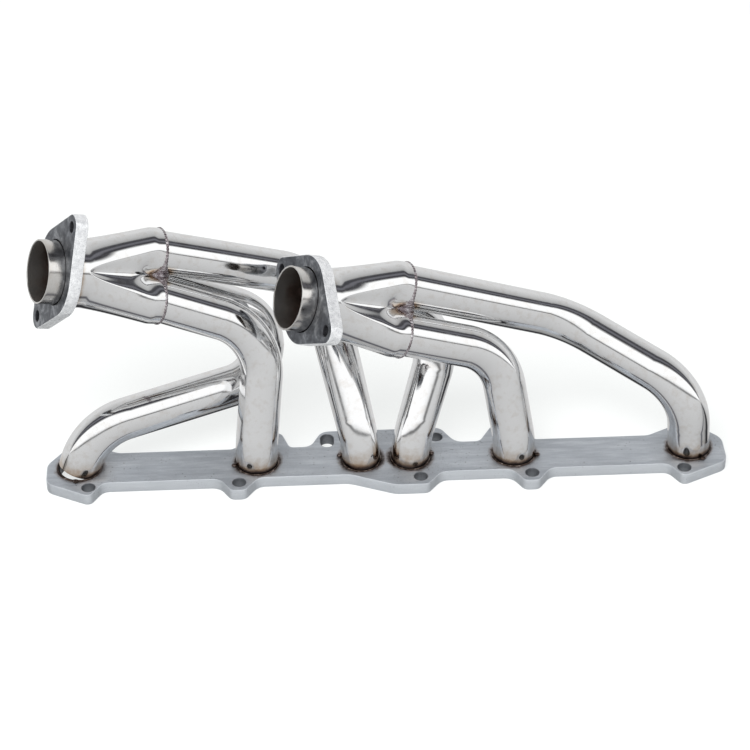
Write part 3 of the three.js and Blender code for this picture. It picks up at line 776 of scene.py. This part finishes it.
def lobed_radius(angle):
    """Radius of the mouth: a circle round each tube, its valleys rounded by VALLEY_BLEND."""
    turned = angle - math.pi / 2  # from the lobe that points along the frame's y
    offset = turned - THIRD * np.round(turned / THIRD)
    across = LOBE_DISTANCE * np.sin(offset)
    chord = np.maximum(LOBE_RADIUS**2 - across**2, 0)
    return LOBE_DISTANCE * np.cos(offset) + np.sqrt(chord + VALLEY_BLEND**2)


def held_radius(angle):
    """Radius of the flat-sided outline that just holds the three lobes."""
    away = from_valley(angle)
    flat = LOBE_DISTANCE / 2 + math.hypot(LOBE_RADIUS, VALLEY_BLEND)
    held = np.maximum(lobed_radius(angle), flat / np.cos(away))
    return np.where(np.abs(away) < FLAT_HALF_ANGLE, held, lobed_radius(angle))


def pressed_in(away, z, length):
    """How far the shell is pressed in, away radians from a valley's middle. The valley narrows as
    (1 - (z/length)^1.5)^0.6 and rises towards the neck, and turns from the gap between two tubes into a
    smooth dish of profile (1 - t^2)^1.4 that is DISH_DEPTH as deep."""
    narrowing = np.maximum(1 - (np.clip(z / length, 0, 1)) ** 1.5, 1e-9) ** 0.6
    spread = away / narrowing
    t = np.clip(np.abs(spread) / FLAT_HALF_ANGLE, 0, 1)
    inside = np.clip(spread, -FLAT_HALF_ANGLE, FLAT_HALF_ANGLE)
    gap = held_radius(VALLEY_ANGLE + inside) - lobed_radius(VALLEY_ANGLE + inside)
    deepest = held_radius(VALLEY_ANGLE) - lobed_radius(VALLEY_ANGLE)
    dish = deepest * (1 - (1 - DISH_DEPTH) * smooth(z, 0, 34)) * (1 - t * t) ** 1.4
    share = smooth(z, 0, 18)
    return (gap * (1 - share) + dish * share) * narrowing * (t < 1)


def collector_radius(angle, z, wall):
    """Outer radius less the wall, z millimetres from the mouth towards the outlet: the outline that
    holds the lobes goes nearly straight to the round neck, eased at both ends, less the valleys."""
    start, end = LOBED_LENGTH, COLLECTOR_LENGTH - NECK_LENGTH
    t = np.clip((z - start) / (end - start), 0, 1)
    ease = 0.06
    share = np.where(t < ease, t * t / (2 * ease), t - ease / 2)
    share = np.where(t > 1 - ease, (1 - ease) - (1 - t) ** 2 / (2 * ease), share) / (1 - ease)
    held = held_radius(angle) * (1 - share) + NECK_RADIUS * share
    return held - pressed_in(from_valley(angle), z, end) - wall


def collector_shell(collector):
    local = FRAMES[collector["name"]]
    count = 288
    a = np.linspace(0, TAU, count, endpoint=False)[None]
    z = np.linspace(0, COLLECTOR_LENGTH, 110)[:, None]
    outer = collector_radius(a, z, 0)
    inner = collector_radius(a, z[::-1], COLLECTOR_WALL)
    r = np.concatenate([outer, inner])
    zz = np.broadcast_to(np.concatenate([z, z[::-1]]), r.shape)
    grid = local.place(r * np.cos(a), r * np.sin(a), zz)
    angle = np.broadcast_to(a, r.shape)
    valley = 1 - smooth(np.abs(from_valley(angle)), 0.05, 0.3)
    at_mouth = 1 - valley * (1 - smooth(zz, 3, 19)) * 0.72
    at_neck = 1 - 0.55 * (1 - smooth(COLLECTOR_LENGTH - zz, 1, 9))
    cool = np.minimum(at_mouth, at_neck)
    ring_piece(collector["name"] + "_shell", grid, POLISHED, "polished_stainless", [collector["name"]],
               cool=cool)


def collector_bead(collector):
    """The rope of weld round the mouth: a ripple-covered round section carried round the lobed outline.
    It thickens into a lump in each valley."""
    local = FRAMES[collector["name"]]
    count, rows = 720, 14
    a = np.linspace(0, TAU, count, endpoint=False)[None]
    b = np.linspace(0, TAU, rows, endpoint=False)[:, None]
    swell = np.exp(-(from_valley(a) / 0.2) ** 2)
    ripple = 0.3 * np.sin(110 * a + 3 * np.sin(4 * a)) + 0.3 * wobble(9 * np.cos(a), 9 * np.sin(a), 7)
    size = 1.75 + 0.7 * ripple + 3.4 * swell
    centre = lobed_radius(a) - 1.1 + 1.2 * swell
    r = centre + size * np.cos(b) * (1 - 0.1 * swell)
    z = -0.9 + size * np.sin(b) * (1.0 + 0.9 * swell)
    grid = local.place(r * np.cos(a), r * np.sin(a), z)
    ring_piece(collector["name"] + "_bead", grid, SILVER_WELD, "collector_weld",
               [collector["name"] + "_weld"])


# ---------------------------------------------------------------- outlets

LATHE_COLUMNS = 160


def lathe(local, profile):
    """A closed profile of (radius, height) turned about the collector's axis."""
    r, z = np.array(profile, float).T
    a = np.linspace(0, TAU, LATHE_COLUMNS, endpoint=False)[None]
    return local.place(r[:, None] * np.cos(a), r[:, None] * np.sin(a), z[:, None])


def bore_marks(profile, deep_clear_of_tint_and_shade):
    """Three numbers per point of a lathed pipe: its height, how clear of heat tint and painted shade it
    is, and 1 in its bore. Down the bore the brown deepens away from the lip, partly real heat tint and
    partly painted shade."""
    along = np.repeat([z for _, z in profile], LATHE_COLUMNS)
    inner = [r < OUTLET_RADIUS - OUTLET_WALL / 2 for r, _ in profile]
    bore = np.repeat(inner, LATHE_COLUMNS).astype(float)
    # heat tint and painted shade: the bore darkens from the lip down into the pipe
    inside = deep_clear_of_tint_and_shade + (1 - deep_clear_of_tint_and_shade) * smooth(along, STUB_END - 24, STUB_END - 2)
    return along, np.where(bore > 0, inside, 1.0), bore


def outlet_stub(collector):
    local = FRAMES[collector["name"]]
    outer, bore = OUTLET_RADIUS, OUTLET_RADIUS - OUTLET_WALL
    start, end, lip = COLLECTOR_LENGTH - STUB_LAP, STUB_END, 0.5
    arc = np.linspace(0, math.pi / 2, 5)
    outer_lip = [(outer - lip + lip * math.cos(x), end - lip + lip * math.sin(x)) for x in arc]
    inner_lip = [(bore + lip - lip * math.sin(x), end - lip + lip * math.cos(x)) for x in arc]
    outside = [(outer, z) for z in np.linspace(start, end - lip, 40)[:-1]]
    inside = [(bore, z) for z in np.linspace(end - lip, start, 40)[1:]]
    profile = outside + outer_lip + inner_lip + inside
    # 0.36: how clear of heat tint and painted shade the deep bore is
    along, cool, bore = bore_marks(profile, 0.36)
    ring_piece(collector["name"] + "_stub", lathe(local, profile), BRUSHED, "brushed_stainless",
               [collector["name"] + "_outlet_stub"], along=along, cool=cool, bore=bore)


def outlet_weld(collector):
    local = FRAMES[collector["name"]]
    inner, size = NECK_RADIUS + 0.2, 3
    b = np.linspace(0, math.pi / 2, 7)
    profile = [(inner + size * math.sin(x), COLLECTOR_LENGTH - size * math.cos(x)) for x in b]
    profile += [(inner, COLLECTOR_LENGTH)]
    ring_piece(collector["name"] + "_neck_weld", lathe(local, profile), WELD, "weld_metal",
               [collector["name"] + "_outlet_weld"])


def outlet_plate(collector):
    """A round body with an ear on each side, whose arcs meet on their shared tangents."""
    local = FRAMES[collector["name"]]
    body, ear, reach = OUTLET_BODY_RADIUS, OUTLET_EAR_RADIUS, OUTLET_BOLT_REACH
    tangent = math.acos((body - ear) / reach)
    small, large = np.linspace(-tangent, tangent, 24), np.linspace(tangent, math.pi - tangent, 40)
    half = np.concatenate([
        np.stack([reach + ear * np.cos(small), ear * np.sin(small)], -1),
        np.stack([body * np.cos(large), body * np.sin(large)], -1)])
    loops = [np.concatenate([half, -half]), circle_outline(0, 0, OUTLET_RADIUS + STUB_RING, 120)]
    loops += [circle_outline(x, 0, OUTLET_BOLT_HOLE / 2) for x in (reach, -reach)]
    points, faces, flat, rim, bore = plate_points(loops, OUTLET_FLANGE_THICKNESS, [0.9, 0.3, 0.7])
    turn = math.radians(collector["ears"])
    x = points[:, 0] * math.cos(turn) - points[:, 1] * math.sin(turn)
    y = points[:, 0] * math.sin(turn) + points[:, 1] * math.cos(turn)
    placed = local.place(x, y, points[:, 2] + COLLECTOR_LENGTH + GAP)
    piece = build_mesh(collector["name"] + "_flange_plate", placed, faces, MACHINED, "machined_flange",
                       flat, edge=rim, bore=bore)
    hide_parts(collector["name"] + "_outlet_flange")


for collector in COLLECTORS:
    collector_shell(collector)
    collector_bead(collector)
    outlet_stub(collector)
    outlet_weld(collector)
    outlet_plate(collector)
    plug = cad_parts[collector["name"] + "_merge_plug"]
    plug.data.materials.clear()
    plug.data.materials.append(SILVER_WELD)


# ---------------------------------------------------------------- studio

def studio_world():
    """Soft white light with two close dark strips overhead and thin dark strips in front and below. All
    run along X, and beta is the angle from the zenith towards -Y."""
    world = bpy.data.worlds.new("studio")
    world.use_nodes = True
    tree = world.node_tree
    tree.nodes.clear()
    add, link = tree.nodes.new, tree.links.new
    direction = add("ShaderNodeTexCoord").outputs["Generated"]
    noise = add("ShaderNodeTexNoise")
    noise.inputs["Scale"].default_value = 2.2
    noise.inputs["Detail"].default_value = 2
    link(direction, noise.inputs["Vector"])
    split = add("ShaderNodeSeparateXYZ")
    link(direction, split.inputs[0])
    flip = add("ShaderNodeMath")
    flip.operation = "MULTIPLY"
    flip.inputs[1].default_value = -1
    link(split.outputs["Y"], flip.inputs[0])
    beta = add("ShaderNodeMath")
    beta.operation = "ARCTAN2"
    link(flip.outputs[0], beta.inputs[0])
    link(split.outputs["Z"], beta.inputs[1])
    turns = add("ShaderNodeMapRange")
    for key, value in (("From Min", -math.pi), ("From Max", math.pi), ("To Min", 0), ("To Max", 1)):
        turns.inputs[key].default_value = value
    link(beta.outputs[0], turns.inputs["Value"])
    sway = add("ShaderNodeMath")
    sway.operation = "MULTIPLY_ADD"
    sway.inputs[1].default_value = 0.012
    link(noise.outputs["Fac"], sway.inputs[0])
    link(turns.outputs[0], sway.inputs[2])
    shift = add("ShaderNodeMath")
    shift.operation = "SUBTRACT"
    shift.inputs[1].default_value = 0.006
    link(sway.outputs[0], shift.inputs[0])
    ramp = add("ShaderNodeValToRGB")
    stops = [
        (-180, 0.34), (-172, 0.28), (-168, 0.04), (-150, 0.03), (-146, 0.5), (-125, 0.74), (-70, 0.8),
        (-36, 0.58), (-25, 0.45), (-21, 0.08), (-13, 0.06), (-9, 0.18), (-4, 0.17), (0, 0.06), (6, 0.06),
        (10, 0.5), (14, 1.25), (50, 1.2), (56, 0.95), (59, 0.24), (62, 0.22), (66, 0.74), (95, 0.68),
        (130, 0.6), (145, 0.52), (149, 0.14), (155, 0.12), (158, 0.46), (170, 0.42), (180, 0.34),
    ]
    elements = ramp.color_ramp.elements
    while len(elements) < len(stops):
        elements.new(0.5)
    for element, (angle, value) in zip(elements, stops):
        element.position = (angle + 180) / 360
        cold = 1.12 if value < 0.2 else 1.0
        element.color = (value, value, value * cold, 1)
    link(shift.outputs[0], ramp.inputs[0])
    lit = add("ShaderNodeBackground")
    link(ramp.outputs[0], lit.inputs["Color"])
    plain = add("ShaderNodeBackground")
    plain.inputs["Color"].default_value = (0.975, 0.985, 0.98, 1)
    path = add("ShaderNodeLightPath")
    mix = add("ShaderNodeMixShader")
    link(path.outputs["Is Camera Ray"], mix.inputs[0])
    link(lit.outputs[0], mix.inputs[1])
    link(plain.outputs[0], mix.inputs[2])
    out = add("ShaderNodeOutputWorld")
    link(mix.outputs[0], out.inputs["Surface"])
    bpy.context.scene.world = world


def pale_floor():
    n = Nodes("pale_floor")
    p = n.coords()
    faint = n.noise(p, 3, 2)
    colour = n.mix(faint, (0.3, 0.303, 0.302), (0.33, 0.333, 0.332))
    n.finish(colour, 0.9, metallic=0.0)
    n.bsdf.inputs["Specular IOR Level"].default_value = 0.1
    n.bsdf.inputs["Emission Color"].default_value = (0.98, 1.0, 0.99, 1)
    n.bsdf.inputs["Emission Strength"].default_value = 0.72
    mesh = bpy.data.meshes.new("floor")
    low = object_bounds()[0].z - 0.0002
    reach = 12
    corners = [(x * reach, y * reach, low) for x, y in ((-1, -1), (1, -1), (1, 1), (-1, 1))]
    mesh.from_pydata(corners, [], [(0, 1, 2, 3)])
    mesh.materials.append(n.material)
    floor = bpy.data.objects.new("floor", mesh)
    bpy.context.scene.collection.objects.link(floor)
    floor.visible_glossy = False
    floor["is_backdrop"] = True


def soft_light(name, place, target, size, power):
    light = bpy.data.lights.new(name, "AREA")
    light.shape = "DISK"
    light.size = size
    light.energy = power
    lamp = bpy.data.objects.new(name, light)
    lamp.location = place
    aim = np.array(target, float) - np.array(place, float)
    yaw, pitch = math.atan2(aim[1], aim[0]), math.asin(aim[2] / np.linalg.norm(aim))
    lamp.rotation_euler = (math.pi / 2 + pitch, 0, yaw - math.pi / 2)
    lamp.visible_glossy = False
    bpy.context.scene.collection.objects.link(lamp)


def camera():
    """Looks down by 37.2 degrees from the front, turned 3.1 degrees to the right, with a long lens."""
    data = bpy.data.cameras.new("camera")
    data.lens = 124.8
    data.sensor_width = 36
    data.clip_end = 60
    eye = bpy.data.objects.new("camera", data)
    eye.location = (-0.1222, -2.0582, 1.6827)
    eye.rotation_euler = (math.radians(90 - 37.2), 0, -math.radians(3.1))
    bpy.context.scene.collection.objects.link(eye)
    bpy.context.scene.camera = eye


studio_world()
pale_floor()
soft_light("key", (-0.8, -1.2, 2.6), (0, 0, 0.1), 2.0, 60)
camera()
bpy.context.scene.view_settings.view_transform = "Standard"
bpy.context.scene.view_settings.look = "None"
